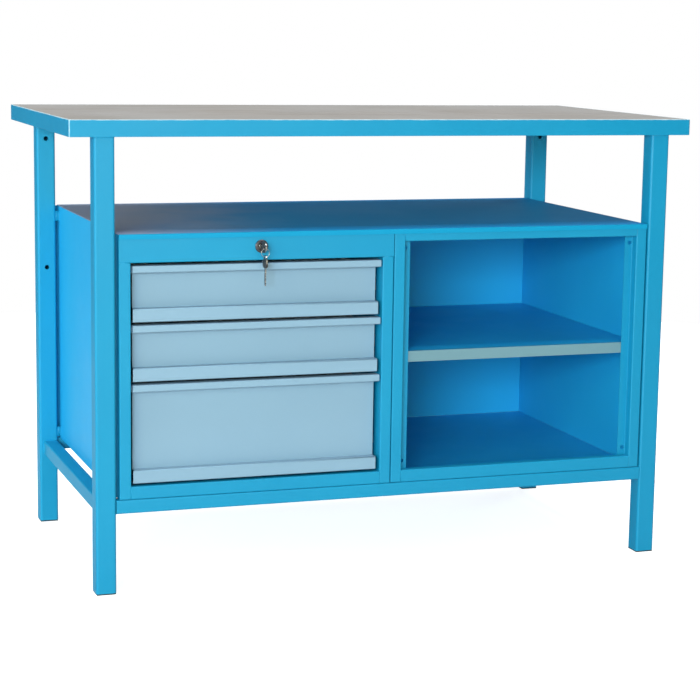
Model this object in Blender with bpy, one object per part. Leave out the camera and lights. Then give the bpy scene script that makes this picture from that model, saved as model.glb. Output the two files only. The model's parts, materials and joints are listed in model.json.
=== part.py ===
"""Steel workbench with a lockable three-drawer cabinet and an open cabinet with a shelf.

Metres, +Z up, +X to the right seen from the front, the front faces -Y.
The numbers below are measured from the floor point under the middle of the worktop. Everything is then
moved back by MIDDLE, which puts the origin under the middle of the whole object, keys included.
"""

import math

import bmesh
import bpy
from mathutils import Matrix, Vector

# ---- driving dimensions ------------------------------------------------------------------
LENGTH = 1.200  # worktop, left to right
DEPTH = 0.600  # worktop, front to rear
HEIGHT = 0.850  # floor to worktop surface
GAP = 0.0003  # between pieces that touch

EDGE = 0.030  # angle steel round the worktop, both legs of the L
EDGE_WALL = 0.003
SURFACE = 0.002  # surface sheet let in flush with the angle steel

LEG = 0.037  # square tube
LEG_WALL = 0.0015
LEG_RADIUS = 0.0045
LEG_X = {-1: -0.5375, 1: 0.5395}  # leg centres, left and right
LEG_Y = 0.2785  # leg centre, front and rear
LEG_HOLE = 0.0045  # radius of the accessory holes in the rear legs
LEG_HOLE_Z = (0.526, 0.784)

STRETCHER = 0.028  # square tube between a front and a rear leg
STRETCHER_TOP = 0.169
RAIL_RADIUS = 0.003
TIE = 0.025  # square tube between the left and right legs
BANK_Z = 0.173  # underside of the two cabinets
BANK_TOP = 0.650
BANK_LEFT = -0.5125  # left end of the two cabinets together
BANK_RIGHT = 0.518
BANK_FRONT = -0.296
BANK_REAR = 0.282
SHEET = 0.001
FOLD = 0.001  # inner radius of the folds in sheet steel
STILE = 0.021  # folded front face of a side panel
RETURN = 0.016  # fold behind a rail
DEEP_RETURN = 0.038  # fold behind the drawer cabinet's stiles
DOOR_STOP = 0.018  # depth of the inner flange of the open cabinet behind its front
DOOR_STOP_WIDTH = 0.016
STOP_HOLE = 0.004  # radius of the holes in the door stops
STOP_HOLE_INSET = 0.037  # from the cabinet's ends to those holes
BOTTOM_RAIL = 0.023
TOP_RAIL_Z = 0.627
LOCK_RAIL_Z = 0.599
COVER_LIP = 0.009

SHELF_TOP = 0.418
SHELF_EDGE = 0.020
SHELF_DEPTH = 0.276  # half

DRAWERS = ((0.4925, 0.101), (0.3855, 0.1015), (0.2005, 0.1795))  # bottom and height of each front
DRAWER_CLEAR = 0.0035  # beside a front
GRIP_HEIGHT = 0.0125
GRIP_DEPTH = 0.023
KICK_HEIGHT = 0.024
KICK_STEP = 0.004
KICK_INSET = (0.001, 0.0035)  # left and right, from the grip's ends to the strip's
PANEL_INSET = (0.0035, 0.0035)  # and to the panel's
BOX_SIDE_GAP = 0.012  # from the stile's edge to the drawer box
BOX_DEPTH = 0.480
BOX_WALLS = (0.0775, 0.0775, 0.152)
RUNNER_SET_BACK = 0.020  # from the front's panel to the runners
RUNNER_LENGTH = 0.430
RUNNER_HEIGHT = 0.036
RUNNER_WALL = 0.0012

LOCK_Z = 0.624
LOCK_HEAD = 0.012  # radius of the lock's head
LOCK_BARREL = 0.009
LOCK_BORE = 0.0055
LOCK_REAR = -0.262  # rear end of the plug
ROD = 0.003  # radius of the rod behind the lock
ROD_DISC = 0.0115  # radius of the disc at its end, which carries the crank pin
BAR_HALF = 0.015  # half the locking bar's width
BAR_THICK = 0.003
BAR_LIFT = 0.012
CRANK = BAR_LIFT / 2 * math.sqrt(2)  # crank pin radius: a quarter turn lifts the bar by BAR_LIFT
KEY_HOLE_Y = -0.321
KEY_THICK = 0.0022
BOW_LENGTH = 0.013  # half the length of a key's bow
BOW_WIDTH = 0.010  # half its width
MIDDLE = (BOW_WIDTH * math.cos(math.pi / 24) - KEY_HOLE_Y - DEPTH / 2) / 2

DRAWER_CABINET = (BANK_LEFT, 0.0010)
OPEN_CABINET = (0.0024, BANK_RIGHT)
LOCK_X = -0.2527
BAR_X = LOCK_X - 0.007
BAR_Y = 0.234

for stale in list(bpy.data.objects):
    bpy.data.objects.remove(stale, do_unlink=True)


# ---- materials ---------------------------------------------------------------------------
def material(name, colour, roughness, metallic=0.0):
    made = bpy.data.materials.new(name)
    made.use_nodes = True
    shader = made.node_tree.nodes["Principled BSDF"]
    shader.inputs["Base Color"].default_value = (*colour, 1.0)
    shader.inputs["Roughness"].default_value = roughness
    shader.inputs["Metallic"].default_value = metallic
    made.diffuse_color = (*colour, 1.0)
    return made


BLUE = material("blue_powder_coat", (0.03, 0.36, 0.66), 0.42)
PALE = material("pale_powder_coat", (0.33, 0.55, 0.68), 0.42)
GREY = material("grey_surface_sheet", (0.38, 0.36, 0.34), 0.55)
BOARD = material("pressed_board", (0.30, 0.20, 0.12), 0.8)
ZINC = material("zinc_plate", (0.55, 0.56, 0.57), 0.38, 1.0)
NICKEL = material("nickel_plate", (0.62, 0.60, 0.56), 0.25, 1.0)
BLACK = material("black_plastic", (0.02, 0.02, 0.02), 0.5)


# ---- meshes ------------------------------------------------------------------------------
def box(low, high):
    """A rectangular block between two corners."""
    mesh = bmesh.new()
    bmesh.ops.create_cube(mesh, size=1.0)
    low, high = Vector(low), Vector(high)
    size = Matrix.Diagonal((*(high - low), 1.0))
    bmesh.ops.transform(mesh, matrix=Matrix.Translation((low + high) / 2) @ size, verts=mesh.verts)
    return mesh


def prism(outline, start, end, axis):
    """A closed outline pushed along an axis. The outline gives the other two coordinates, in order."""
    mesh = bmesh.new()

    def point(pair, along):
        spot = list(pair)
        spot.insert("XYZ".index(axis), along)
        return mesh.verts.new(spot)

    near = [point(pair, start) for pair in outline]
    far = [point(pair, end) for pair in outline]
    mesh.faces.new(near)
    mesh.faces.new(far)
    for index, vert in enumerate(near):
        following = (index + 1) % len(near)
        mesh.faces.new((vert, near[following], far[following], far[index]))
    bmesh.ops.recalc_face_normals(mesh, faces=mesh.faces)
    return mesh


def strip(path, wall, inner=None, steps=4):
    """The outline of a folded sheet: a path, and the same path set off by the wall to its right.
    Every fold is an arc with the inner radius, and an inner radius of 0 gives square corners."""
    inner = FOLD if inner is None else inner
    points = [Vector(pair) for pair in path]
    heads = [(after - before).normalized() for before, after in zip(points, points[1:])]
    rights = [Vector((head.y, -head.x)) for head in heads]
    outline, offset = [points[0]], [points[0] + rights[0] * wall]
    for corner, before, after, head in zip(points[1:-1], rights, rights[1:], heads):
        mitre = (before + after) / (1 + before.dot(after))
        if inner == 0:
            outline.append(corner)
            offset.append(corner + mitre * wall)
            continue
        turn = 1 if head.dot(after) < 0 else -1  # +1 folds towards the wall's side
        radius = inner + wall if turn > 0 else inner
        middle = corner + mitre * radius * turn
        for step in range(steps + 1):
            share = step / steps
            out = -turn * (before * (1 - share) + after * share).normalized()
            outline.append(middle + out * radius)
            offset.append(middle + out * (radius - turn * wall))
    outline.append(points[-1])
    offset.append(points[-1] + rights[-1] * wall)
    return [tuple(point) for point in outline + offset[::-1]]


def flip(path, centre=0.0):
    """A path mirrored left to right, and reversed so that its wall stays inside."""
    return [(2 * centre - first, second) for first, second in reversed(path)]


def rounded(width, height, radius, steps=3):
    """The outline of a rectangle with round corners."""
    points = []
    for turn, (side, up) in enumerate(((1, 1), (-1, 1), (-1, -1), (1, -1))):
        middle = Vector((side * (width / 2 - radius), up * (height / 2 - radius)))
        for step in range(steps + 1):
            angle = math.radians(90 * (turn + step / steps))
            points.append(middle + radius * Vector((math.cos(angle), math.sin(angle))))
    return points


def tube(width, height, wall, radius, start, end, axis, centre):
    """A rectangular tube, open at both ends. The centre gives the other two coordinates."""
    mesh = bmesh.new()
    rings = []
    for along in (start, end):
        for shrink in (0.0, wall):
            outline = rounded(width - 2 * shrink, height - 2 * shrink, max(radius - shrink, 0.0004))
            ring = []
            for point in outline:
                spot = [point.x + centre[0], point.y + centre[1]]
                spot.insert("XYZ".index(axis), along)
                ring.append(mesh.verts.new(spot))
            rings.append(ring)
    outer_start, inner_start, outer_end, inner_end = rings
    round_trip = (outer_start, outer_end, inner_end, inner_start, outer_start)
    for one, other in zip(round_trip, round_trip[1:]):
        for index in range(len(one)):
            following = (index + 1) % len(one)
            mesh.faces.new((one[index], one[following], other[following], other[index]))
    bmesh.ops.recalc_face_normals(mesh, faces=mesh.faces)
    return mesh


def turned(profile, centre, steps=24):
    """A body turned about a line along Y. A profile of (radius, y) that starts and ends at radius 0 is solid,
    and any other closes on itself into a ring."""
    mesh = bmesh.new()
    rings = []
    for radius, along in profile:
        if radius == 0:
            rings.append([mesh.verts.new((centre[0], along, centre[1]))] * steps)
            continue
        ring = []
        for step in range(steps):
            angle = math.tau * step / steps
            x, z = centre[0] + radius * math.cos(angle), centre[1] + radius * math.sin(angle)
            ring.append(mesh.verts.new((x, along, z)))
        rings.append(ring)
    solid = profile[0][0] == 0
    following_rings = rings[1:] if solid else rings[1:] + rings[:1]
    for one, other in zip(rings, following_rings):
        for index in range(steps):
            following = (index + 1) % steps
            corners = dict.fromkeys((one[index], one[following], other[following], other[index]))
            if len(corners) > 2:
                mesh.faces.new(corners)
    bmesh.ops.recalc_face_normals(mesh, faces=mesh.faces)
    return mesh


def drill(centre, radius, start, end, steps):
    """The cutter for a round hole along Y."""
    return turned([(0, start), (radius, start), (radius, end), (0, end)], centre, steps)


def torus(centre, major, minor, steps=28, sides=8):
    """A wire ring in the XZ plane."""
    mesh = bmesh.new()
    rings = []
    for step in range(steps):
        angle = math.tau * step / steps
        out = Vector((math.cos(angle), 0, math.sin(angle)))
        ring = []
        for side in range(sides):
            turn = math.tau * side / sides
            across = out * math.cos(turn) + Vector((0, 1, 0)) * math.sin(turn)
            ring.append(mesh.verts.new(Vector(centre) + out * major + across * minor))
        rings.append(ring)
    for one, other in zip(rings, rings[1:] + rings[:1]):
        for index in range(sides):
            following = (index + 1) % sides
            mesh.faces.new((one[index], one[following], other[following], other[index]))
    bmesh.ops.recalc_face_normals(mesh, faces=mesh.faces)
    return mesh


def tray(low, high, wall, open_side):
    """A box with a thin wall, open on its top (+1) or underneath (-1)."""
    mesh = box(low, high)
    bmesh.ops.recalc_face_normals(mesh, faces=mesh.faces)
    mouth = max(mesh.faces, key=lambda face: open_side * face.calc_center_median().z)
    bmesh.ops.inset_region(mesh, faces=[mouth], thickness=wall, use_even_offset=True)
    floor = bmesh.ops.extrude_discrete_faces(mesh, faces=[mouth])["faces"][0]
    depth = (high[2] - low[2] - wall) * open_side
    bmesh.ops.translate(mesh, vec=(0, 0, -depth), verts=floor.verts)
    bmesh.ops.recalc_face_normals(mesh, faces=mesh.faces)
    return mesh


# ---- objects -----------------------------------------------------------------------------
def guide(name, place, parent=None):
    """An empty on a joint's axis, which the pieces of a moving body hang from."""
    empty = bpy.data.objects.new(name, None)
    bpy.context.scene.collection.objects.link(empty)
    empty.empty_display_size = 0.03
    empty.parent = parent
    empty["place"] = place
    start = Vector(parent["place"]) if parent else Vector((0, -MIDDLE, 0))
    empty.location = Vector(place) - start
    return empty


def add(name, mesh, finish, parent=None, smooth=False):
    """Makes a named piece from a mesh in bench coordinates, with its origin at its parent's."""
    data = bpy.data.meshes.new(name)
    if parent:
        bmesh.ops.translate(mesh, vec=-Vector(parent["place"]), verts=mesh.verts)
    mesh.to_mesh(data)
    mesh.free()
    data.materials.append(finish)
    if smooth:
        data.shade_smooth()
        data.set_sharp_from_angle(angle=math.radians(35))
    piece = bpy.data.objects.new(name, data)
    bpy.context.scene.collection.objects.link(piece)
    piece.parent = parent
    if not parent:
        piece.location.y = MIDDLE
    return piece


def combine(piece, operation, meshes):
    """Cuts hidden helper shapes out of a piece, or welds them to it."""
    for index, mesh in enumerate(meshes):
        helper = add(f"{piece.name}_{operation.lower()}_{index}", mesh, piece.data.materials[0], piece.parent)
        helper.hide_render = True
        helper.display_type = "WIRE"
        modifier = piece.modifiers.new(f"{operation.lower()}_{index}", "BOOLEAN")
        modifier.operation = operation
        modifier.solver = "EXACT"
        modifier.object = helper


# ---- worktop -----------------------------------------------------------------------------
def edge_angle(name, half, side_half, turns):
    """One side of the welded angle-steel frame, with mitred ends. It is laid along the front, then turned
    round the bench by quarter turns."""
    low = HEIGHT - EDGE
    section = strip([(EDGE, low), (0, low), (0, HEIGHT)], EDGE_WALL, 0)
    mesh = bmesh.new()
    ends = []
    for side in (-1, 1):
        reach = [(side * (half - inward - GAP / 2), inward - side_half, z) for inward, z in section]
        ends.append([mesh.verts.new(point) for point in reach])
    mesh.faces.new(ends[0])
    mesh.faces.new(ends[1])
    for index in range(len(section)):
        following = (index + 1) % len(section)
        mesh.faces.new((ends[0][index], ends[0][following], ends[1][following], ends[1][index]))
    bmesh.ops.recalc_face_normals(mesh, faces=mesh.faces)
    quarter_turns = Matrix.Rotation(turns * math.pi / 2, 3, "Z")
    bmesh.ops.rotate(mesh, cent=(0, 0, 0), matrix=quarter_turns, verts=mesh.verts)
    add(name, mesh, BLUE)


def make_worktop():
    halves = LENGTH / 2, DEPTH / 2
    for turns, name in enumerate(("edge_front", "edge_right", "edge_rear", "edge_left")):
        half, side_half = halves if turns % 2 == 0 else halves[::-1]
        edge_angle(name, half, side_half, turns)
    x = LENGTH / 2 - EDGE_WALL - GAP
    y = DEPTH / 2 - EDGE_WALL - GAP
    floor = HEIGHT - EDGE + EDGE_WALL + GAP
    add("worktop_board", box((-x, -y, floor), (x, y, HEIGHT - SURFACE - GAP)), BOARD)
    add("worktop_surface", box((-x, -y, HEIGHT - SURFACE), (x, y, HEIGHT)), GREY)


# ---- legs and rails ----------------------------------------------------------------------
def make_leg(name, side, front):
    x, y = LEG_X[side], front * LEG_Y
    top = HEIGHT - EDGE - GAP
    leg = add(name, tube(LEG, LEG, LEG_WALL, LEG_RADIUS, 0.0025, top, "Z", (x, y)), BLUE)
    if front > 0:
        face = y - LEG / 2
        holes = [drill((x, z), LEG_HOLE, face - 0.004, face + 0.004, 20) for z in LEG_HOLE_Z]
        combine(leg, "DIFFERENCE", holes)


def make_foot(name, side, front):
    """A plastic plug: a thin foot that covers the tube's end, and a stem inside the tube."""
    x, y = LEG_X[side], front * LEG_Y
    stem = LEG / 2 - LEG_WALL - 0.0011
    head = LEG / 2 - 0.001
    plug = add(name, box((x - head, y - head, 0), (x + head, y + head, 0.0022)), BLACK)
    combine(plug, "UNION", [box((x - stem, y - stem, 0.001), (x + stem, y + stem, 0.020))])


def make_frame():
    for side, left_right in ((-1, "left"), (1, "right")):
        for front, front_rear in ((-1, "front"), (1, "rear")):
            make_leg(f"leg_{front_rear}_{left_right}", side, front)
            make_foot(f"foot_plug_{front_rear}_{left_right}", side, front)
        inner = LEG_X[side] - side * (LEG / 2 - STRETCHER / 2)
        z = STRETCHER_TOP - STRETCHER / 2
        reach = LEG_Y - LEG / 2 - GAP
        mesh = tube(STRETCHER, STRETCHER, LEG_WALL, RAIL_RADIUS, -reach, reach, "Y", (inner, z))
        add(f"side_stretcher_{left_right}", mesh, BLUE)
    ends = LEG_X[-1] + LEG / 2 + GAP, LEG_X[1] - LEG / 2 - GAP
    for front, name in ((-1, "tie_rail_front"), (1, "tie_rail_rear")):
        y = front * (LEG_Y + LEG / 2 - TIE / 2)
        z = BANK_Z - GAP - TIE / 2
        add(name, tube(TIE, TIE, LEG_WALL, RAIL_RADIUS, *ends, "X", (y, z)), BLUE)


# ---- cabinets ----------------------------------------------------------------------------
PANEL_LOW = BANK_Z + SHEET + GAP
PANEL_TOP = BANK_TOP - SHEET - GAP


def side_path(x, door_stop):
    """The folds of a left-hand side panel, seen from above: return or door stop, stile, wall, rear flange."""
    inner = x + STILE
    if door_stop:
        y = BANK_FRONT + DOOR_STOP
        path = [(inner + DOOR_STOP_WIDTH, y), (inner, y)]
    else:
        path = [(inner, BANK_FRONT + DEEP_RETURN)]
    return path + [(inner, BANK_FRONT), (x, BANK_FRONT), (x, BANK_REAR), (x + 0.015, BANK_REAR)]


def side_panel(name, cabinet, right, door_stop):
    path = side_path(cabinet[0], door_stop)
    if right:
        path = flip(path, sum(cabinet) / 2)
    return add(name, prism(strip(path, SHEET), PANEL_LOW, PANEL_TOP, "Z"), BLUE)


def base(name, cabinet):
    """Floor sheet with a folded front rail, notched at both ends for the stiles."""
    low, high = cabinet
    rear = BANK_REAR - 0.003
    rail = BANK_Z + BOTTOM_RAIL
    path = [(rear, BANK_Z), (BANK_FRONT, BANK_Z), (BANK_FRONT, rail), (BANK_FRONT + RETURN, rail)]
    piece = add(name, prism(strip(path, SHEET), low, high, "X"), BLUE)
    front, behind = BANK_FRONT - 0.002, BANK_FRONT + DOOR_STOP + 0.003
    floor = BANK_Z + SHEET + 0.0001
    notch = STILE + GAP
    left = box((low - 0.002, front, floor), (low + notch, behind, rail + 0.002))
    right = box((high - notch, front, floor), (high + 0.002, behind, rail + 0.002))
    combine(piece, "DIFFERENCE", [left, right])


def back(name, cabinet):
    low, high = cabinet
    y = BANK_REAR - SHEET - GAP
    inset = SHEET + GAP
    add(name, box((low + inset, y - SHEET, PANEL_LOW), (high - inset, y, PANEL_TOP)), BLUE)


def top_rail(name, low, high, z):
    """A rail with a fold behind its lower edge and one behind its upper edge."""
    rear = BANK_FRONT + RETURN
    path = [(rear, PANEL_TOP), (BANK_FRONT, PANEL_TOP), (BANK_FRONT, z), (rear, z)]
    return add(name, prism(strip(path[::-1], SHEET), low, high, "X"), BLUE)


def make_cabinets():
    for name, cabinet in (("drawer_cabinet", DRAWER_CABINET), ("open_cabinet", OPEN_CABINET)):
        door_stop = name == "open_cabinet"
        sides = [side_panel(f"{name}_side_left", cabinet, False, door_stop)]
        sides.append(side_panel(f"{name}_side_right", cabinet, True, door_stop))
        base(f"{name}_base", cabinet)
        back(f"{name}_back", cabinet)
        low, high = cabinet
        edges = (low + STILE, high - STILE)
        for side, edge, sign in zip(sides, edges, (1, -1)):
            cutters = []
            if door_stop:
                x = edge + sign * (DOOR_STOP_WIDTH / 2 - 0.002)
                y = BANK_FRONT + DOOR_STOP
                for z in (BANK_Z + STOP_HOLE_INSET, PANEL_TOP - STOP_HOLE_INSET + SHEET):
                    cutters.append(drill((x, z), STOP_HOLE, y - 0.003, y + 0.004, 16))
            else:
                # The stile stops under the lock rail, which runs the full length of the cabinet.
                outer = edge - sign * STILE
                for start, depth in ((-0.002, SHEET + GAP), (0.0017, DEEP_RETURN + 0.004)):
                    ends = sorted((outer + sign * start, edge + sign * 0.004))
                    low_corner = (ends[0], BANK_FRONT - 0.002, LOCK_RAIL_Z - GAP)
                    cutters.append(box(low_corner, (ends[1], BANK_FRONT + depth, PANEL_TOP + 0.002)))
            combine(side, "DIFFERENCE", cutters)
    low, high = DRAWER_CABINET
    rail = top_rail("lock_rail", low, high, LOCK_RAIL_Z)
    y = BANK_FRONT
    cutters = [drill((LOCK_X, LOCK_Z), LOCK_BARREL + GAP, y - 0.004, y + 0.005, 32)]
    for start, end in ((low - 0.002, low + 0.0017), (high - 0.0017, high + 0.002)):
        low_corner = (start, y + SHEET, LOCK_RAIL_Z - 0.002)
        cutters.append(box(low_corner, (end, y + RETURN + 0.003, BANK_TOP)))
    combine(rail, "DIFFERENCE", cutters)
    low, high = OPEN_CABINET
    top_rail("open_cabinet_top_rail", low + STILE + GAP, high - STILE - GAP, TOP_RAIL_Z)
    front, rear = BANK_FRONT - GAP, BANK_REAR + GAP
    path = [(rear + SHEET, BANK_TOP - 0.015), (rear + SHEET, BANK_TOP)]
    path += [(front - SHEET, BANK_TOP), (front - SHEET, BANK_TOP - COVER_LIP)]
    add("cabinet_top", prism(strip(path[::-1], SHEET), BANK_LEFT, BANK_RIGHT, "X"), BLUE)


def make_shelf():
    low, high = OPEN_CABINET
    inset = SHEET + 0.001
    corners = (low + inset, -SHELF_DEPTH, SHELF_TOP - SHELF_EDGE), (high - inset, SHELF_DEPTH, SHELF_TOP)
    add("shelf", tray(*corners, 0.0012, -1), BLUE)
    ledge = SHELF_TOP - SHELF_EDGE - GAP
    for side, left_right in ((1, "left"), (-1, "right")):
        wall = (low if side > 0 else high) + side * (SHEET + GAP)
        path = [(wall, ledge - 0.016), (wall, ledge), (wall + side * 0.014, ledge)]
        if side < 0:
            path = path[::-1]
        for y, front_rear in ((-0.225, "front"), (0.225, "rear")):
            mesh = prism(strip(path, 0.0015), y - 0.007, y + 0.007, "Y")
            add(f"shelf_clip_{front_rear}_{left_right}", mesh, ZINC)


# ---- drawers -----------------------------------------------------------------------------
def drawer_front(number, low, height, parent):
    """Folded front: a grip along the top that fingers reach behind, a set-back panel, and a strip below."""
    left, right = DRAWER_CABINET[0] + STILE + DRAWER_CLEAR, DRAWER_CABINET[1] - STILE - DRAWER_CLEAR
    top = low + height
    face, panel, kick = BANK_FRONT, BANK_FRONT + GRIP_DEPTH, BANK_FRONT + KICK_STEP
    path = [(face + 0.006, top - GRIP_HEIGHT), (face, top - GRIP_HEIGHT), (face, top), (panel, top)]
    ledge = low + KICK_HEIGHT - SHEET
    path += [(panel, ledge), (kick + SHEET, ledge), (kick + SHEET, low + SHEET), (panel, low + SHEET)]
    piece = add(f"drawer_front_{number}", prism(strip(path, SHEET), left, right, "X"), PALE, parent)
    below = top - GRIP_HEIGHT - 0.003
    ends = []
    for inset, start, end in ((KICK_INSET, low - 0.005, ledge), (PANEL_INSET, ledge - SHEET / 2, below)):
        for near, far in ((left - 0.005, left + inset[0]), (right - inset[1], right + 0.005)):
            ends.append(box((near, face - 0.005, start), (far, panel + 0.005, end)))
    combine(piece, "DIFFERENCE", ends)


def drawer_box(number, low, walls, parent):
    """Open tray with a hooked catch on its rear wall, for the locking bar."""
    left = DRAWER_CABINET[0] + STILE + BOX_SIDE_GAP
    right = DRAWER_CABINET[1] - STILE - BOX_SIDE_GAP
    front = BANK_FRONT + GRIP_DEPTH + GAP
    rear = front + BOX_DEPTH
    floor = low + 0.008
    piece = add(
        f"drawer_box_{number}",
        tray((left, front, floor), (right, rear, floor + walls), SHEET, 1),
        ZINC,
        parent,
    )
    catch = catch_height(low, walls)
    path = [(rear - 0.0006, catch), (rear + 0.0215, catch), (rear + 0.0215, catch - 0.012)]
    mesh = prism(strip(path, 0.0015), BAR_X - 0.010, BAR_X + 0.010, "X")
    combine(piece, "UNION", [mesh])
    return rear


def catch_height(low, walls):
    """Top of a drawer's catch."""
    return low + 0.008 + walls - 0.012


def runner(number, low, walls, side, parent):
    """A telescopic runner: the cabinet's channel on two brackets, and the drawer's channel inside it."""
    left_right = "left" if side > 0 else "right"
    cabinet = DRAWER_CABINET[0] if side > 0 else DRAWER_CABINET[1]
    z = low + 0.008 + min(walls, BOX_WALLS[0]) / 2
    start = BANK_FRONT + GRIP_DEPTH + RUNNER_SET_BACK
    end = start + RUNNER_LENGTH
    edge = cabinet + side * STILE
    half = RUNNER_HEIGHT / 2
    web = edge + side * 0.0005
    path = [(web + side * 0.008, z + half), (web, z + half), (web, z - half), (web + side * 0.008, z - half)]
    if side > 0:
        path = path[::-1]
    mesh = prism(strip(path, RUNNER_WALL), start, end, "Y")
    fixed = add(f"runner_channel_{number}_{left_right}", mesh, ZINC)
    wall = cabinet + side * (SHEET + GAP)
    brackets = []
    for y in (start + 0.022, end - 0.040):
        xs = sorted((wall, web + side * RUNNER_WALL / 2))
        brackets.append(box((xs[0], y, z - 0.010), (xs[1], y + 0.018, z + 0.010)))
    combine(fixed, "UNION", brackets)
    inner = half - RUNNER_WALL - 0.0025
    outer_web = edge + side * (BOX_SIDE_GAP - GAP)
    path = [(web + side * 0.0035, z + inner), (outer_web, z + inner), (outer_web, z - inner)]
    path += [(web + side * 0.0035, z - inner)]
    if side < 0:
        path = path[::-1]
    mesh = prism(strip(path, RUNNER_WALL), start, end, "Y")
    add(f"runner_slide_{number}_{left_right}", mesh, ZINC, parent)


def make_drawers():
    middle = sum(DRAWER_CABINET) / 2
    rear = 0.0
    for number, ((low, height), walls) in enumerate(zip(DRAWERS, BOX_WALLS), 1):
        parent = guide(f"drawer_{number}_axis", (middle, BANK_FRONT, low + height / 2))
        drawer_front(number, low, height, parent)
        rear = drawer_box(number, low, walls, parent)
        for side in (1, -1):
            runner(number, low, walls, side, parent)
    return rear


# ---- central lock ------------------------------------------------------------------------
def key_shape(bow, hole, blade):
    """A flat key from three outlines in the YZ plane."""
    half = KEY_THICK / 2
    plate = prism(bow, LOCK_X - half, LOCK_X + half, "X")
    opening = prism(hole, LOCK_X - 0.004, LOCK_X + 0.004, "X")
    shank = prism(blade, LOCK_X - half + 0.0001, LOCK_X + half - 0.0001, "X")
    return plate, opening, shank


def ellipse(centre, first, second, steps):
    turns = [math.tau * (step + 0.5) / steps for step in range(steps)]
    return [(centre[0] + first * math.cos(turn), centre[1] + second * math.sin(turn)) for turn in turns]


def make_key(name, end, along, parent):
    """A key whose bow ends at a point and whose blade points along a direction in the YZ plane."""
    end, along = Vector(end), Vector(along)
    across = Vector((-along.y, along.x))
    lengthwise, crosswise = (BOW_LENGTH, BOW_WIDTH) if along.x else (BOW_WIDTH, BOW_LENGTH)
    bow = ellipse(end + along * BOW_LENGTH, lengthwise, crosswise, 24)
    hole = ellipse(end + along * 0.0056, 0.0026, 0.0026, 16)
    teeth = [(0.0245, 0.0036), (0.037, 0.0036), (0.0385, 0.0022), (0.040, 0.0034), (0.042, 0.0034)]
    teeth += [(0.0435, 0.0016), (0.046, 0.0030), (0.048, 0.0030), (0.050, 0.0018), (0.0525, 0.0028)]
    teeth += [(0.056, 0.0004), (0.054, -0.0036), (0.0245, -0.0036)]
    blade = [tuple(end + along * length - across * width) for length, width in teeth]
    plate, opening, shank = key_shape(bow, hole, blade)
    piece = add(name, plate, NICKEL, parent)
    combine(piece, "UNION", [shank])
    combine(piece, "DIFFERENCE", [opening])


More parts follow.
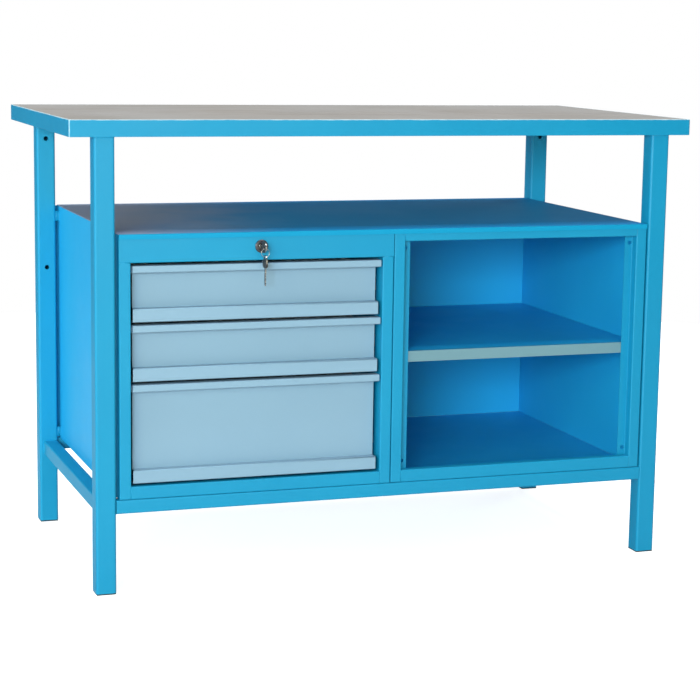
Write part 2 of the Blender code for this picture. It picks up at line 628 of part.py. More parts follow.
def make_lock(box_rear):
    face = BANK_FRONT - GAP
    centre = (LOCK_X, LOCK_Z)
    head, barrel, bore, behind = LOCK_HEAD, LOCK_BARREL, LOCK_BORE, LOCK_REAR - 0.002
    housing = [(bore, face - 0.0025), (head - 0.001, face - 0.0025), (head, face - 0.0015), (head, face)]
    housing += [(barrel, face), (barrel, behind), (bore, behind)]
    add("lock_housing", turned(housing, centre, 32), NICKEL, smooth=True)

    axis = guide("lock_turn_axis", (LOCK_X, -0.299, LOCK_Z))
    radius, front = bore - GAP, face - 0.003
    plug = [(0, front), (radius, front), (radius, LOCK_REAR), (0, LOCK_REAR)]
    core = add("lock_plug", turned(plug, centre, 24), NICKEL, axis, smooth=True)
    keyway = box((LOCK_X - 0.0014, -0.302, LOCK_Z - 0.0042), (LOCK_X + 0.0014, -0.268, LOCK_Z + 0.0042))
    combine(core, "DIFFERENCE", [keyway])

    disc = BAR_Y - 0.005
    start = LOCK_REAR + GAP
    rod = [(0, start), (ROD, start), (ROD, disc)]
    rod += [(ROD_DISC, disc), (ROD_DISC, disc + 0.003), (0, disc + 0.003)]
    piece = add("lock_rod", turned(rod, centre, 24), ZINC, axis, smooth=True)
    drop = CRANK / math.sqrt(2)
    pin = [(0, disc + 0.001), (0.0025, disc + 0.001), (0.0025, BAR_Y + 0.0055), (0, BAR_Y + 0.0055)]
    combine(piece, "UNION", [turned(pin, (LOCK_X - drop, LOCK_Z - drop), 16)])

    lift = guide("lock_bar_axis", (BAR_X, BAR_Y, LOCK_Z))
    low_corner, high_corner = (BAR_X - BAR_HALF, BAR_Y, 0.190), (BAR_X + BAR_HALF, BAR_Y + BAR_THICK, 0.634)
    bar = add("lock_bar", box(low_corner, high_corner), ZINC, lift)
    hooks = []
    for (low, _), walls in zip(DRAWERS, BOX_WALLS):
        plate = catch_height(low, walls) - 0.0015 - 0.0262
        tip = box_rear + 0.0156
        path = [(BAR_Y + 0.001, plate), (tip, plate), (tip, plate + 0.011)]
        hooks.append(prism(strip(path, 0.002), BAR_X - 0.010, BAR_X + 0.010, "X"))
    combine(bar, "UNION", hooks)
    slot_low = (LOCK_X - CRANK - 0.0035, BAR_Y - 0.002, LOCK_Z - drop - 0.0032)
    slot_high = (LOCK_X - drop + 0.0035, BAR_Y + 0.005, LOCK_Z - drop + 0.0032)
    combine(bar, "DIFFERENCE", [box(slot_low, slot_high)])

    rear = BANK_REAR - 2 * SHEET - 2 * GAP
    side = BAR_HALF + 0.0006
    ear = BAR_Y - 0.002
    web = BAR_Y + BAR_THICK + 0.0006
    path = [(BAR_X - side, ear), (BAR_X - side, web), (BAR_X + side, web), (BAR_X + side, ear)]
    bracket = add("lock_bar_guide", prism(strip(path[::-1], 0.0015), 0.300, 0.325, "Z"), ZINC)
    post = box((BAR_X - 0.008, web + 0.0007, 0.303), (BAR_X + 0.008, rear, 0.322))
    combine(bracket, "UNION", [post])

    pull = guide("key_pull_axis", (LOCK_X, KEY_HOLE_Y, LOCK_Z), axis)
    make_key("key", (KEY_HOLE_Y - 0.0056, LOCK_Z), (1, 0), pull)
    wire, hoop = 0.0006, 0.0075
    hang = LOCK_Z - 0.0026 + wire + 0.0002
    swing = guide("ring_swing_axis", (LOCK_X, KEY_HOLE_Y, hang), pull)
    add("key_ring", torus((LOCK_X, KEY_HOLE_Y, hang - hoop), hoop, wire), NICKEL, swing, smooth=True)
    foot = hang - 2 * hoop
    dangle = guide("spare_swing_axis", (LOCK_X, KEY_HOLE_Y, foot), swing)
    make_key("spare_key", (KEY_HOLE_Y, foot + wire + 0.0002 - 0.0026 + 0.0056), (0, -1), dangle)


make_worktop()
make_frame()
make_cabinets()
make_shelf()
make_lock(make_drawers())
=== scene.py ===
"""The workbench in a plain studio.

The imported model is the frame. Its pieces get their paint, metal and board here. The welds, the plates between
cabinets and legs, the rolled edges and the keys' grips are added on top.
"""

import json
import math

import bmesh
import bpy
from mathutils import Matrix, Vector, noise


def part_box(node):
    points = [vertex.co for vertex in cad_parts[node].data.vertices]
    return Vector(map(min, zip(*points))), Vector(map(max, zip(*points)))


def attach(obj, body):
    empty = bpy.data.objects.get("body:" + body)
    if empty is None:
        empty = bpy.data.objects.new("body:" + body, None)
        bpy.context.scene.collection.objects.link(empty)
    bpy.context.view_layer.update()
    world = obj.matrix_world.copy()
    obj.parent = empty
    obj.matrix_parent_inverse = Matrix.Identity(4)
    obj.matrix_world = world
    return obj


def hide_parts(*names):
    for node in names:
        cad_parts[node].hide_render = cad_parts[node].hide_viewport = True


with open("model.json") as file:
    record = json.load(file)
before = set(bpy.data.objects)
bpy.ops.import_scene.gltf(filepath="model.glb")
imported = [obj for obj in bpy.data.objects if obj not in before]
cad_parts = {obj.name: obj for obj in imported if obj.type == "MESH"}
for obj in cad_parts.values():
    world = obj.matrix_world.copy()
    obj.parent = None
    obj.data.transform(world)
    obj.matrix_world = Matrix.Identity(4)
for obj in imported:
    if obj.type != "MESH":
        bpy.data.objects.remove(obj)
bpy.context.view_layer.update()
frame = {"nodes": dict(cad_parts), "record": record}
nodes = frame["nodes"]
scene = bpy.context.scene

# ---- sizes, in metres --------------------------------------------------------------------
surface_low, surface_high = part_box("worktop_surface")
MIDDLE = (surface_low.y + surface_high.y) / 2  # the worktop's middle, front to rear
WORKTOP = surface_high.z
HALF_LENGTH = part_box("edge_right")[1].x
HALF_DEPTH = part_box("edge_rear")[1].y - MIDDLE
CABINET_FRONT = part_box("open_cabinet_top_rail")[0].y

ANGLE_WALL = 0.003  # thickness of the angle steel round the worktop
ANGLE_CORNER = 0.0034  # radius of its four corners, seen from above
ANGLE_BEVEL = 0.0007
STILE = 0.021  # width of a stile's front face
SOFT_EDGE = 0.0003  # bevel of cut and folded edges
TOUCH = 0.0001  # how far a piece made here reaches into the pieces that it touches
GAP = 0.0003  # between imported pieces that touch

# Radii of the weld beads.
STRETCHER_BEAD = 0.0024
INNER_BEAD = 0.0017
OUTER_BEAD = 0.0014
TAB_BEAD = 0.0013
FLAT_BEAD = 0.0009
RIPPLE = 0.0042  # length of one ripple
LEG_INSET = 0.005  # from a leg's corners to the ends of the beads at its top
RAIL_INSET = 0.004  # the same on the stretchers and tie rails
BEAD_DROP = 0.0004  # from a leg's top down to the middle of its beads

PLATE = 0.003  # thickness of the tabs and packers between cabinets and legs
TAB_INSET = 0.004  # from a leg's inner face
TAB_HALF_HEIGHT = 0.010
TAB_LEVELS = {"low": 0.187, "high": 0.629}  # heights of the tabs' middles

SEAM_STRIP_FRONT, SEAM_STRIP_REAR = 0.060, 0.030  # from the cabinets' front and rear to each strip's middle
SEAM_STRIP_HALF = 0.010  # half a strip's width, front to rear

STRIP_TOP = 0.024  # height of the lower strip on a drawer front
STRIP_STEP = 0.004  # from the grip's face back to the strip's
ROLL = 0.0011  # radius of the strip's rolled edge
ROLL_BACK, ROLL_DROP = 0.0006, 0.0009  # from the strip's face and top to the roll's middle
ROLL_ENDS = 0.0012, 0.0037  # from the front's left and right ends

SHELF_SKIN = 0.0003  # thickness of the shelf's trim
SHELF_WRAP = 0.002  # how far it reaches over the shelf's top

# Each key's grip: from the bow's end to the grip's middle, and half its size along Y and Z.
KEY_GRIP = 0.0145, (0.0075, 0.0105)
SPARE_GRIP = 0.0155, (0.0098, 0.0080)
# Places across a grip's thickness, each with how far the outline is drawn in there.
GRIP_PROFILE = (-0.0026, 0.0012), (-0.0018, 0.0), (0.0018, 0.0), (0.0026, 0.0012)


# ---- camera ------------------------------------------------------------------------------
EYE = Vector((-1.25875, MIDDLE - 3.70139, 1.02356))
YAW, PITCH, ROLLED = math.radians(19.722), math.radians(9.361), math.radians(0.968)
SENSOR, LENS = 36, 102.1855  # millimetres
SHIFT = -0.03217, -0.00029  # shares of the picture's width


def make_camera():
    ahead = Vector((math.sin(YAW) * math.cos(PITCH), math.cos(YAW) * math.cos(PITCH), -math.sin(PITCH)))
    right = Vector((math.cos(YAW), -math.sin(YAW), 0))
    top = right.cross(ahead)
    turned_right = math.cos(ROLLED) * right + math.sin(ROLLED) * top
    turned_top = -math.sin(ROLLED) * right + math.cos(ROLLED) * top
    data = bpy.data.cameras.new("camera")
    data.sensor_width = SENSOR
    data.lens = LENS
    data.shift_x, data.shift_y = SHIFT
    data.clip_end = 100
    camera = bpy.data.objects.new("camera", data)
    scene.collection.objects.link(camera)
    turn = Matrix((turned_right, turned_top, -ahead)).transposed()
    camera.matrix_world = Matrix.Translation(EYE) @ turn.to_4x4()
    scene.camera = camera


# ---- materials ---------------------------------------------------------------------------
class Nodes:
    """A short way to write a material's node tree."""

    def __init__(self, name):
        self.material = bpy.data.materials.new(name)
        self.material.use_nodes = True
        self.tree = self.material.node_tree
        self.shader = self.tree.nodes["Principled BSDF"]
        self.place = self.tree.nodes.new("ShaderNodeTexCoord").outputs["Object"]

    def add(self, kind, *values, setup=(), **named):
        """A node with its settings, and with values for its inputs in order or by name."""
        node = self.tree.nodes.new("ShaderNode" + kind)
        for setting, value in dict(setup).items():
            setattr(node, setting, value)
        for socket, value in [*enumerate(values), *named.items()]:
            self.put(node.inputs[socket], value)
        return node

    def put(self, socket, value):
        if isinstance(value, bpy.types.NodeSocket):
            self.tree.links.new(value, socket)
        else:
            socket.default_value = value

    def noise(self, scale, detail=3.0, roughness=0.5, stretch=None):
        vector = self.place
        if stretch:
            vector = self.add("Mapping", Vector=vector, Scale=stretch).outputs[0]
        node = self.add("TexNoise", Vector=vector, Scale=scale, Detail=detail, Roughness=roughness)
        return node.outputs["Fac"]

    def range(self, value, low, high, to_low, to_high, smooth=False):
        setup = {"interpolation_type": "SMOOTHSTEP" if smooth else "LINEAR"}
        return self.add("MapRange", value, low, high, to_low, to_high, setup=setup).outputs[0]

    def math(self, operation, *values):
        return self.add("Math", *values, setup={"operation": operation}).outputs[0]

    def vector_math(self, operation, *values):
        return self.add("VectorMath", *values, setup={"operation": operation}).outputs[0]

    def split(self, vector):
        """The X, Y and Z of a vector."""
        return self.add("SeparateXYZ", vector).outputs

    def mix(self, share, first, second):
        node = self.add("Mix", share, setup={"data_type": "RGBA"})
        self.put(node.inputs[6], first)
        self.put(node.inputs[7], second)
        return node.outputs[2]

    def bump(self, height, distance, strength=1.0, normal=None):
        node = self.add("Bump", Height=height, Distance=distance, Strength=strength)
        if normal:
            self.put(node.inputs["Normal"], normal)
        return node.outputs[0]

    def finish(self, colour, roughness, normal=None, metallic=0.0):
        self.put(self.shader.inputs["Base Color"], colour)
        self.put(self.shader.inputs["Roughness"], roughness)
        self.put(self.shader.inputs["Metallic"], metallic)
        if normal:
            self.put(self.shader.inputs["Normal"], normal)
        return self.material


def rgb(*colour):
    return (*colour, 1.0)


def sprayed(made, main, deep, pale):
    """The colour of a sprayed coat with its faint clouds and fine grain, and the clouds on their own."""
    cloud = made.range(made.noise(3.5, 4.0), 0.35, 0.65, 0.0, 1.0, True)
    grain = made.range(made.noise(420.0, 2.0), 0.3, 0.7, 0.0, 1.0)
    colour = made.mix(made.math("MULTIPLY", cloud, 0.5), rgb(*main), rgb(*deep))
    colour = made.mix(made.math("MULTIPLY", grain, 0.12), colour, rgb(*pale))
    return colour, cloud


def orange_peel(made):
    return made.bump(made.noise(650.0, 1.5), 0.00008, 0.35)


def baked(made, colour):
    """A baked coat's satin gloss, with orange peel over a long, shallow wave."""
    roughness = made.range(made.noise(9.0, 3.0), 0.3, 0.7, 0.42, 0.50)
    wavy = made.bump(made.noise(60.0, 1.0), 0.0002, 0.12, orange_peel(made))
    made.shader.inputs["Specular IOR Level"].default_value = 0.28
    return made.finish(colour, roughness, wavy)


def powder_coat(name, main, deep, pale, painted_light_colour=None, painted_light_depths=(0.016, 0.050)):
    """Powder coat. Where a painted-light colour is given, the colour turns to it between two distances behind
    the cabinets' front: painted light, brighter and bluer inside and towards the rear, which the lamps light
    too little."""
    made = Nodes(name)
    colour, _ = sprayed(made, main, deep, pale)
    # Painted light: the coat turns brighter and bluer behind the front, standing in for light inside and at the
    # rear.
    if painted_light_colour:
        start, end = (CABINET_FRONT + distance for distance in painted_light_depths)
        share = made.range(made.split(made.place)[1], start, end, 0.0, 0.9, True)
        colour = made.mix(share, colour, rgb(*painted_light_colour))
    return baked(made, colour)


def band_coat_with_painted_highlights(name, main, deep, pale, painted_highlight):
    """The worktop's band: powder coat, with a pale painted highlight along its top and on its upright corners.
    """
    made = Nodes(name)
    colour, _ = sprayed(made, main, deep, pale)
    ragged = made.range(made.noise(55.0, 4.0, 0.6), 0.3, 0.7, -0.0004, 0.0004)
    height = made.math("ADD", made.split(made.place)[2], ragged)
    # Painted highlight along the band's top edge.
    rim_highlight = made.range(height, WORKTOP - 0.0012, WORKTOP - 0.0004, 0.0, 1.0)
    from_middle = made.vector_math("SUBTRACT", made.place, (0, MIDDLE, 0))
    x, y, _ = made.split(made.vector_math("ABSOLUTE", from_middle))
    past_x = made.math("SUBTRACT", x, HALF_LENGTH)
    past_y = made.math("SUBTRACT", y, HALF_DEPTH)
    nearest = made.math("ADD", made.math("MINIMUM", past_x, past_y), ragged)
    # Painted highlight on the band's upright corners.
    corner = made.range(nearest, -0.0022, -0.0014, 0.0, 0.8)
    return baked(made, made.mix(made.math("MAXIMUM", rim_highlight, corner), colour, rgb(*painted_highlight)))


def roof_coat(name, main, deep, pale, painted_reflection_colour, lip):
    """The cabinets' roof. It is matter than the fronts, and its blue is a brighter copy of theirs: painted
    light under the worktop's shade. Its left part carries a brown-grey painted reflection. Its lip has the
    fronts' colour."""
    made = Nodes(name)
    colour, cloud = sprayed(made, main, deep, pale)
    x, y, _ = made.split(made.place)
    slanted = made.math("MULTIPLY_ADD", y, -0.29, x)  # the painted reflection reaches further right towards the rear
    ragged = made.range(made.noise(7.0, 3.0, 0.6), 0.3, 0.7, -0.03, 0.03)
    # Painted reflection: a brown-grey haze over the left of the roof.
    painted_reflection_share = made.range(made.math("ADD", slanted, ragged), -0.50, -0.10, 0.68, 0.0, True)
    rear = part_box("cabinet_top")[1].y
    before_fold = made.range(y, rear - 0.012, rear - 0.002, 1.0, 0.0, True)
    colour = made.mix(made.math("MULTIPLY", painted_reflection_share, before_fold), colour, rgb(*painted_reflection_colour))
    behind_lip = made.range(y, CABINET_FRONT, CABINET_FRONT + 0.004, 0.0, 1.0)
    colour = made.mix(behind_lip, rgb(*lip), colour)
    made.shader.inputs["Specular IOR Level"].default_value = 0.12
    return made.finish(colour, made.range(cloud, 0.0, 1.0, 0.46, 0.54), orange_peel(made))


def surface_sheet():
    """The worktop's grey sheet: blotched, finely grained and scuffed along its length."""
    made = Nodes("worktop_grey")
    patch = made.range(made.noise(2.6, 5.0, 0.6), 0.35, 0.68, 0.0, 1.0, True)
    fine = made.range(made.noise(120.0, 4.0, 0.65), 0.3, 0.7, 0.0, 1.0)
    colour = made.mix(patch, rgb(0.300, 0.288, 0.277), rgb(0.255, 0.232, 0.210))
    colour = made.mix(made.math("MULTIPLY", fine, 0.25), colour, rgb(0.385, 0.375, 0.365))
    scuffs = made.noise(14.0, 6.0, 0.7, (0.35, 1.0, 1.0))
    roughness = made.range(scuffs, 0.35, 0.65, 0.42, 0.6)
    return made.finish(colour, roughness, made.bump(fine, 0.0001, 0.3))


def pressed_board():
    made = Nodes("pressed_board")
    chips = made.range(made.noise(170.0, 4.0, 0.7, (1.0, 0.55, 1.0)), 0.3, 0.7, 0.0, 1.0)
    colour = made.mix(chips, rgb(0.30, 0.20, 0.12), rgb(0.47, 0.34, 0.21))
    return made.finish(colour, 0.75, made.bump(chips, 0.0003, 0.5))


def plated(name, bright, dark, low, high, brush=(1.0, 1.0, 1.0)):
    """Plated metal between two tones and two values of roughness. Its lines run along brush's small axis."""
    made = Nodes(name)
    lines = made.range(made.noise(90.0, 3.0, 0.6, brush), 0.3, 0.7, 0.0, 1.0)
    shade = made.mix(lines, rgb(*bright), rgb(*dark))
    return made.finish(shade, made.range(lines, 0.0, 1.0, low, high), made.bump(lines, 0.00005, 0.2), 1.0)


def moulded():
    made = Nodes("black_plastic")
    grain = made.noise(900.0, 2.0)
    roughness = made.range(grain, 0.3, 0.7, 0.45, 0.6)
    return made.finish(rgb(0.02, 0.02, 0.022), roughness, made.bump(grain, 0.0001, 0.3))


# Main, deep and pale tones of the paints.
BLUE_TONES = (0.004, 0.245, 0.440), (0.003, 0.222, 0.415), (0.009, 0.275, 0.470)
# The roof's tones are a brighter copy of the blue: painted light under the worktop's shade.
ROOF_PAINTED_LIGHT_TONES = (0.004, 0.310, 0.720), (0.004, 0.290, 0.690), (0.009, 0.330, 0.740)
PALE_TONES = (0.210, 0.336, 0.452), (0.195, 0.317, 0.432), (0.237, 0.366, 0.482)
SHELF_TONES = (0.140, 0.262, 0.315), (0.125, 0.240, 0.295), (0.170, 0.295, 0.345)

# Their brighter colours behind the front are painted light for the shaded inside and rear.
BLUE = powder_coat("blue_paint", *BLUE_TONES, painted_light_colour=(0.014, 0.385, 0.740))
FRAME_BLUE = powder_coat("frame_paint", *BLUE_TONES, painted_light_colour=(0.006, 0.290, 0.510), painted_light_depths=(0.010, 0.500))
# The band's pale top and corners are painted highlights.
BAND = band_coat_with_painted_highlights("band_paint", *BLUE_TONES, painted_highlight=(0.46, 0.60, 0.66))
# The roof's brown-grey patch is a painted reflection.
ROOF = roof_coat("roof_paint", *ROOF_PAINTED_LIGHT_TONES, painted_reflection_colour=(0.50, 0.45, 0.52), lip=(0.004, 0.258, 0.470))
PALE = powder_coat("pale_paint", *PALE_TONES)
SHELF_PALE = powder_coat("shelf_edge_paint", *SHELF_TONES)
DARK_NICKEL = plated("dark_nickel", (0.13, 0.13, 0.15), (0.08, 0.08, 0.10), 0.24, 0.36)
PLASTIC = moulded()
LOOKS = {
    "blue_paint": BLUE,
    "pale_paint": PALE,
    "grey_sheet": surface_sheet(),
    "board": pressed_board(),
    "zinc": plated("zinc", (0.60, 0.61, 0.62), (0.48, 0.49, 0.50), 0.28, 0.42, (1.0, 0.05, 1.0)),
    "nickel": plated("nickel", (0.42, 0.41, 0.40), (0.28, 0.28, 0.28), 0.20, 0.32),
    "black_plastic": PLASTIC,
}


def look_of(name, slot):
    """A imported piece's material: its slot's, except on the lock's head, the roof and the welded frame."""
    if name == "lock_housing":
        return DARK_NICKEL
    if name == "cabinet_top":
        return ROOF
    if name.startswith(("leg_", "side_stretcher", "tie_rail")):
        return FRAME_BLUE
    return LOOKS[slot]


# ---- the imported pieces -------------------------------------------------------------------
def soften(made, width, weight=50):
    """Bevels an object's sharp edges and evens out the shading of its flat faces."""
    edges = made.modifiers.new("edges", "BEVEL")
    edges.width = width
    edges.segments = 2
    edges.limit_method = "ANGLE"
    edges.angle_limit = math.radians(35)
    even = made.modifiers.new("even", "WEIGHTED_NORMAL")
    even.keep_sharp = True
    even.weight = weight


def dress(node, material):
    """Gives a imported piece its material, soft edges and even shading. Its own mesh stays as it is."""
    data = node.data
    if data.attributes.get("custom_normal"):
        data.attributes.remove(data.attributes["custom_normal"])
    data.materials.clear()
    data.materials.append(material)
    data.shade_smooth()
    weld = node.modifiers.new("weld", "WELD")
    weld.merge_threshold = 1e-6
    flat = node.modifiers.new("flat", "DECIMATE")
    flat.decimate_type = "DISSOLVE"
    flat.angle_limit = math.radians(1)
    soften(node, SOFT_EDGE, 80)


slots = {entry["node"]: entry["material_slot"] for entry in frame["record"]["subparts"]}
for name, node in nodes.items():
    dress(node, look_of(name, slots[name]))


# ---- pieces made here --------------------------------------------------------------------
def piece(name, mesh, material, body, bevel=0.0, smooth=True):
    """A new piece from a mesh in world coordinates."""
    data = bpy.data.meshes.new(name)
    bmesh.ops.recalc_face_normals(mesh, faces=mesh.faces)
    mesh.to_mesh(data)
    mesh.free()
    data.materials.append(material)
    made = bpy.data.objects.new(name, data)
    scene.collection.objects.link(made)
    if smooth:
        data.shade_smooth()
    if bevel:
        soften(made, bevel)
    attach(made, body)
    return made


def block(mesh, low, high):
    made = bmesh.ops.create_cube(mesh, size=1.0)["verts"]
    low, high = Vector(low), Vector(high)
    bmesh.ops.scale(mesh, vec=high - low, verts=made)
    bmesh.ops.translate(mesh, vec=(low + high) / 2, verts=made)


def loft(mesh, rings, closed=False):
    """Faces between rings of points that follow one another, with caps unless the last meets the first."""
    made = [[mesh.verts.new(point) for point in ring] for ring in rings]
    pairs = list(zip(made, made[1:])) + ([(made[-1], made[0])] if closed else [])
    for one, other in pairs:
        for index in range(len(one)):
            after = (index + 1) % len(one)
            mesh.faces.new((one[index], one[after], other[after], other[index]))
    if not closed:
        mesh.faces.new(made[0])
        mesh.faces.new(made[-1][::-1])


def band_ring(inward, z, steps=6):
    """The band's outline drawn inwards, a rounded rectangle that always has the same number of points."""
    ring = []
    radius = max(ANGLE_CORNER - inward, 0.00005)
    for quarter, (side, up) in enumerate(((1, 1), (-1, 1), (-1, -1), (1, -1))):
        x = side * (HALF_LENGTH - inward - radius)
        y = MIDDLE + up * (HALF_DEPTH - inward - radius)
        for step in range(steps + 1):
            angle = math.radians(90 * (quarter + step / steps))
            ring.append((x + radius * math.cos(angle), y + radius * math.sin(angle), z))
    return ring


def make_band():
    """The angle-steel frame round the worktop, welded and ground round at its corners."""
    low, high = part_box("edge_front")
    bottom, top, leg = low.z, high.z, high.z - low.z
    inside = bottom + ANGLE_WALL
    section = (leg, bottom), (0, bottom), (0, top), (ANGLE_WALL, top), (ANGLE_WALL, inside), (leg, inside)
    mesh = bmesh.new()
    loft(mesh, [band_ring(inward, z) for inward, z in section], closed=True)
    made = piece("worktop_band", mesh, BAND, "bench", ANGLE_BEVEL)
    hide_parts("edge_front", "edge_right", "edge_rear", "edge_left")


def weld(mesh, start, end, radius, lean):
    """A weld bead from one point to another, rippled along its length and flattened towards the corner."""
    start, end, lean = Vector(start), Vector(end), Vector(lean).normalized()
    along = (end - start).normalized()
    across = along.cross(lean)
    length = (end - start).length
    count = max(4, int(length / RIPPLE) * 6)
    turns = [math.tau * side / 10 for side in range(10)]
    flat, wide = 0.72, 1.1
    rings = []
    for index in range(count + 1):
        share = index / count
        ripple = 0.86 + 0.14 * abs(math.sin(math.pi * share * length / RIPPLE))
        taper = min(1.0, 0.35 + 6 * share, 0.35 + 6 * (1 - share))
        drift = 0.25 * radius * noise.noise(start * 40 + along * share * length * 90)
        size = radius * ripple * taper
        middle = start + along * share * length + lean * drift * 0.4 + across * drift
        ring = [math.cos(turn) * lean * flat + math.sin(turn) * across * wide for turn in turns]
        rings.append([middle + size * point for point in ring])
    loft(mesh, rings)


def beads(name, *lines):
    """A piece of weld beads. Each line is a start, an end, a radius and the way the bead leans."""
    mesh = bmesh.new()
    for line in lines:
        weld(mesh, *line)
    piece(name, mesh, FRAME_BLUE, "bench")


def make_welds():
    """Beads where the tubes meet the worktop's band, the stretchers and the tie rails."""
    for end, out_y in (("front", -1), ("rear", 1)):
        for side, out_x in (("left", -1), ("right", 1)):
            corner = f"{end}_{side}"
            low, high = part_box(f"leg_{corner}")
            inner_x, outer_x = (high.x, low.x) if out_x < 0 else (low.x, high.x)
            inner_y, outer_y = (high.y, low.y) if out_y < 0 else (low.y, high.y)

            top = high.z - BEAD_DROP
            x0, x1 = low.x + LEG_INSET, high.x - LEG_INSET
            y0, y1 = low.y + LEG_INSET, high.y - LEG_INSET
            beads(
                f"weld_leg_top_{corner}",
                ((inner_x, y0, top), (inner_x, y1, top), INNER_BEAD, (-out_x, 0, -1)),
                ((outer_x, y0, top), (outer_x, y1, top), OUTER_BEAD, (out_x, 0, -1)),
                ((x0, inner_y, top), (x1, inner_y, top), INNER_BEAD, (0, -out_y, -1)),
                ((x0, outer_y, top), (x1, outer_y, top), OUTER_BEAD, (0, out_y, -1)),
            )

            low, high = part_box(f"side_stretcher_{side}")
            tube_end = low.y if out_y < 0 else high.y
            y = (tube_end - out_y * GAP + inner_y) / 2
            x0, x1 = low.x + RAIL_INSET, high.x - RAIL_INSET
            z0, z1 = low.z + RAIL_INSET, high.z - RAIL_INSET
            lines = [
                ((x0, y, high.z), (x1, y, high.z), STRETCHER_BEAD, (0, -out_y, 1)),
                ((x0, y, low.z), (x1, y, low.z), STRETCHER_BEAD, (0, -out_y, -1)),
            ]
            for x, lean in ((low.x, -1), (high.x, 1)):
                if abs(x - inner_x) > 0.001:  # no bead on a face flush with the leg's
                    lines.append(((x, y, z0), (x, y, z1), STRETCHER_BEAD, (lean, -out_y, 0)))
            beads(f"weld_stretcher_{corner}", *lines)

            low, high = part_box(f"tie_rail_{end}")
            x = inner_x
            y0, y1 = low.y + RAIL_INSET, high.y - RAIL_INSET
            z0, z1 = low.z + RAIL_INSET, high.z - RAIL_INSET
            face = high.y if out_y < 0 else low.y
            beads(
                f"weld_tie_rail_{corner}",
                ((x, y0, low.z), (x, y1, low.z), INNER_BEAD, (-out_x, 0, -1)),
                ((x, y0, high.z), (x, y1, high.z), FLAT_BEAD, (-out_x, 0, 1)),
                ((x, face, z0), (x, face, z1), INNER_BEAD, (-out_x, -out_y, 0)),
            )


def make_plates():
    """Tabs that are welded between the cabinets' side walls and the legs, and a packer beside each leg."""
    for side, cabinet in (("left", "drawer_cabinet"), ("right", "open_cabinet")):
        wall_low, wall_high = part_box(f"{cabinet}_side_{side}")
        for end, behind in (("front", 1), ("rear", -1)):
            low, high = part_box(f"leg_{end}_{side}")
            left, right = (high.x, wall_low.x) if side == "left" else (wall_high.x, low.x)
            inner = high.y if end == "front" else low.y
            y = inner - behind * TAB_INSET
            face = y + behind * PLATE / 2
            for level, z in TAB_LEVELS.items():
                mesh = bmesh.new()
                start = left - TOUCH, y - PLATE / 2, z - TAB_HALF_HEIGHT
                block(mesh, start, (right + TOUCH, y + PLATE / 2, z + TAB_HALF_HEIGHT))
                reach = TAB_HALF_HEIGHT - 0.001
                for x, lean in ((left, 1), (right, -1)):
                    weld(mesh, (x, face, z - reach), (x, face, z + reach), TAB_BEAD, (lean, behind, 0))
                piece(f"cabinet_tab_{level}_{end}_{side}", mesh, FRAME_BLUE, "bench")
            mesh = bmesh.new()
            y = (low.y + high.y) / 2
            start = left - TOUCH, y - PLATE / 2, wall_low.z
            block(mesh, start, (right + TOUCH, y + PLATE / 2, wall_high.z))
            piece(f"cabinet_spacer_{end}_{side}", mesh, FRAME_BLUE, "bench", SOFT_EDGE)


def make_ground_seams():
    """The welded joints between stiles and rails, ground flush and painted over. Each is a narrow block just
    behind the front's plane, and stops short of the bevelled edges at its ends."""
    mesh = bmesh.new()
    near, far = CABINET_FRONT + 0.00002, CABINET_FRONT + 0.0009
    on_stile, on_rail = 0.0006, 0.0009  # how far an upright joint reaches over each
    half = 0.0012  # half the height of a joint that runs across a stile
    for cabinet in ("drawer_cabinet", "open_cabinet"):
        base_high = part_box(f"{cabinet}_base")[1]
        for side in ("left", "right"):
            wall_low, wall_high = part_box(f"{cabinet}_side_{side}")
            if side == "left":
                x0, x1 = wall_low.x, wall_low.x + STILE
                left, right = x1 - on_stile, x1 + on_rail
            else:
                x0, x1 = wall_high.x - STILE, wall_high.x
                left, right = x0 - on_rail, x0 + on_stile
            block(mesh, (left, near, wall_low.z + 0.0006), (right, far, base_high.z - 0.0005))
            if cabinet == "drawer_cabinet":
                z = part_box("lock_rail")[0].z
                block(mesh, (x0 + 0.002, near, z - half), (x1 - half, far, z + half))
            else:
                rail_low, rail_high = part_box("open_cabinet_top_rail")
                block(mesh, (left, near, rail_low.z + 0.0015), (right, far, rail_high.z - 0.002))
    piece("ground_seams", mesh, BLUE, "bench")


def make_seam_strips():
    """The strips that close the seam between the two cabinets, set back in it at the front and the rear."""
    left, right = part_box("drawer_cabinet_side_right")[1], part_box("open_cabinet_side_left")[0]
    drop = 0.0002  # from the base's underside and the sides' tops down to the strips' ends
    bottom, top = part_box("open_cabinet_base")[0].z - drop, left.z - drop
    for end, y in (("front", right.y + SEAM_STRIP_FRONT), ("rear", left.y - SEAM_STRIP_REAR)):
        mesh = bmesh.new()
        start = left.x - TOUCH, y - SEAM_STRIP_HALF, bottom
        block(mesh, start, (right.x + TOUCH, y + SEAM_STRIP_HALF, top))
        piece(f"cabinet_seam_strip_{end}", mesh, BLUE, "bench")


def make_strip_beads():
    """The rolled edge along the top of each drawer front's lower strip."""
    turns = [math.tau * step / 10 for step in range(10)]
    for number in (1, 2, 3):
        low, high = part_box(f"drawer_front_{number}")
        y, z = low.y + STRIP_STEP + ROLL_BACK, low.z + STRIP_TOP - ROLL_DROP
        ends = low.x + ROLL_ENDS[0], high.x - ROLL_ENDS[1]
        mesh = bmesh.new()
        round_points = [(y + ROLL * math.cos(turn), z + ROLL * math.sin(turn)) for turn in turns]
        loft(mesh, [[(x, *point) for point in round_points] for x in ends])
        piece(f"drawer_strip_bead_{number}", mesh, PALE, f"drawer_{number}")


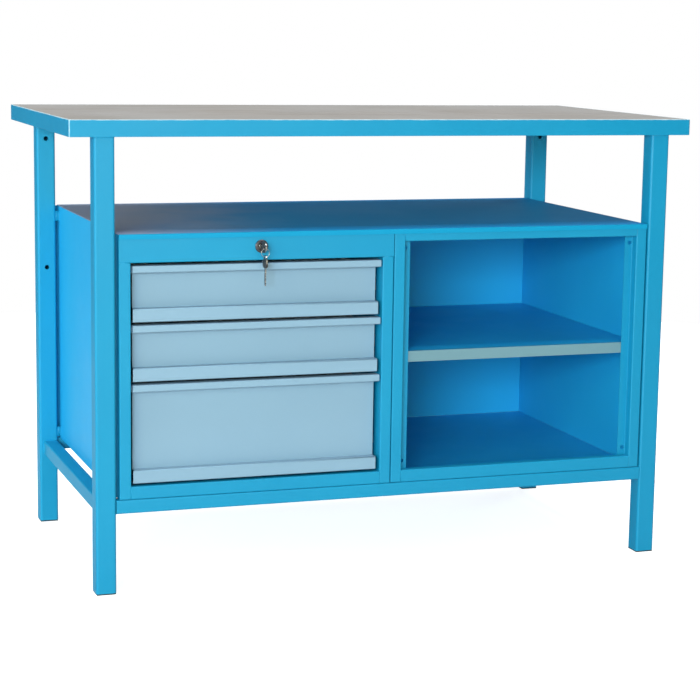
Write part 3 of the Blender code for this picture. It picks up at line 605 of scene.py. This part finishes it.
def make_shelf_trim():
    """The pale front edge of the shelf, wrapped a little way over its top."""
    low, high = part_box("shelf")
    inset = 0.0002
    left, right, top = low.x + inset, high.x - inset, high.z + SHELF_SKIN
    mesh = bmesh.new()
    block(mesh, (left, low.y - SHELF_SKIN, low.z), (right, low.y + inset, top))
    block(mesh, (left, low.y, high.z - TOUCH), (right, low.y + SHELF_WRAP, top))
    piece("shelf_front_trim", mesh, SHELF_PALE, "bench", smooth=False)


def grip_ring(x, centre, half, inward, steps=28):
    """A grip's outline across a key's bow: an oval squared off with cubes for squares."""
    ring = []
    for step in range(steps):
        turn = Vector((math.cos(math.tau * step / steps), math.sin(math.tau * step / steps)))
        squared = (abs(turn.x) ** 3 + abs(turn.y) ** 3) ** (-1 / 3)
        y, z = (centre[axis] + (half[axis] - inward) * turn[axis] * squared for axis in (0, 1))
        ring.append((x, y, z))
    return ring


def make_key_grips():
    """The moulded grips on the bows of the two keys, each short of the ring's hole."""
    for name in ("key", "spare_key"):
        low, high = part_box(name)
        middle = (low + high) / 2
        if name == "key":  # it points to the rear, and its bow is in front
            inset, half = KEY_GRIP
            centre = Vector((low.y + inset, middle.z))
        else:  # it hangs from its bow
            inset, half = SPARE_GRIP
            centre = Vector((middle.y, high.z - inset))
        rings = [grip_ring(middle.x + x, centre, half, inward) for x, inward in GRIP_PROFILE]
        mesh = bmesh.new()
        loft(mesh, rings)
        piece(f"{name}_cover", mesh, PLASTIC, name, SOFT_EDGE)


make_band()
make_welds()
make_plates()
make_ground_seams()
make_seam_strips()
make_strip_beads()
make_shelf_trim()
make_key_grips()


# ---- studio ------------------------------------------------------------------------------
WHITE, WARM, COOL = (1.0, 1.0, 1.0), (1.0, 0.95, 0.66), (0.76, 0.93, 1.0)
LIGHTS = (  # name, place, what it points at, width and height, watts, colour
    ("front", (-0.15, -2.6, 0.85), (-0.45, -0.3, 0.6), (0.85, 0.9), 15, WARM),
    ("key", (-2.9, -2.7, 1.5), (-0.2, 0, 0.5), (1.2, 1.2), 42, WARM),
    ("far_front", (-3.5, -6.6, 1.75), (0, 0, 0.4), (2.0, 1.4), 385, COOL),
    ("left", (-3.4, -0.6, 0.9), (-0.5, 0.0, 0.5), (1.4, 1.2), 34, COOL),
    ("rear", (3.5, 2.6, 1.6), (0.1, 0.2, 0.5), (1.4, 1.2), 30, COOL),
    ("overhead", (0.0, 0.0, 4.5), (0, 0, 0), (3.6, 3.6), 211, WHITE),
)
GLOW_SIDE = Vector((-0.62, -0.74, 0.26)).normalized()  # where the room's glow is strongest
DIM, BRIGHT = 0.18, 0.28  # strength of the room's light away from that side and on it
FLOOR_RADIUS = 3.2


def area_light(name, place, target, size, power, colour):
    data = bpy.data.lights.new(name, "AREA")
    data.shape = "RECTANGLE"
    data.size, data.size_y = size
    data.energy = power
    data.color = colour
    light = bpy.data.objects.new(name, data)
    scene.collection.objects.link(light)
    light.location = place
    light.rotation_euler = (Vector(target) - Vector(place)).to_track_quat("-Z", "Y").to_euler()


def make_world():
    """White where the camera sees it. Its light is a soft glow from the front left, and dimmer elsewhere."""
    world = bpy.data.worlds.new("studio")
    scene.world = world
    world.use_nodes = True
    tree = world.node_tree
    shown = tree.nodes["Background"]
    shown.inputs["Color"].default_value = (1, 1, 1, 1)
    shown.inputs["Strength"].default_value = 1.0
    lit = tree.nodes.new("ShaderNodeBackground")
    lit.inputs["Color"].default_value = (0.93, 0.97, 1.0, 1)
    direction = tree.nodes.new("ShaderNodeTexCoord").outputs["Generated"]
    towards = tree.nodes.new("ShaderNodeVectorMath")
    towards.operation = "DOT_PRODUCT"
    tree.links.new(direction, towards.inputs[0])
    towards.inputs[1].default_value = GLOW_SIDE
    glow = tree.nodes.new("ShaderNodeMapRange")
    glow.interpolation_type = "SMOOTHSTEP"
    tree.links.new(towards.outputs["Value"], glow.inputs["Value"])
    for name, number in (("From Min", 0.0), ("From Max", 1.0), ("To Min", DIM), ("To Max", BRIGHT)):
        glow.inputs[name].default_value = number
    tree.links.new(glow.outputs[0], lit.inputs["Strength"])
    path = tree.nodes.new("ShaderNodeLightPath")
    mix = tree.nodes.new("ShaderNodeMixShader")
    tree.links.new(path.outputs["Is Camera Ray"], mix.inputs[0])
    tree.links.new(lit.outputs[0], mix.inputs[1])
    tree.links.new(shown.outputs[0], mix.inputs[2])
    tree.links.new(mix.outputs[0], tree.nodes["World Output"].inputs["Surface"])


def make_floor():
    """A plain round floor. It glows a little where the camera sees it, to meet the white of the room."""
    mesh = bmesh.new()
    bmesh.ops.create_circle(mesh, cap_ends=True, segments=96, radius=FLOOR_RADIUS)
    data = bpy.data.meshes.new("floor")
    mesh.to_mesh(data)
    mesh.free()
    floor = bpy.data.objects.new("floor", data)
    scene.collection.objects.link(floor)
    paint = Nodes("floor_paint")
    paint.shader.inputs["Emission Color"].default_value = (1, 1, 1, 1)
    seen = paint.add("LightPath").outputs["Is Camera Ray"]
    paint.put(paint.shader.inputs["Emission Strength"], paint.range(seen, 0.0, 1.0, 0.0, 0.80))
    paint.shader.inputs["Specular IOR Level"].default_value = 0.1
    data.materials.append(paint.finish(rgb(0.62, 0.62, 0.62), 0.8))


make_camera()
make_world()
for light in LIGHTS:
    area_light(*light)
make_floor()
scene.view_settings.view_transform = "Standard"
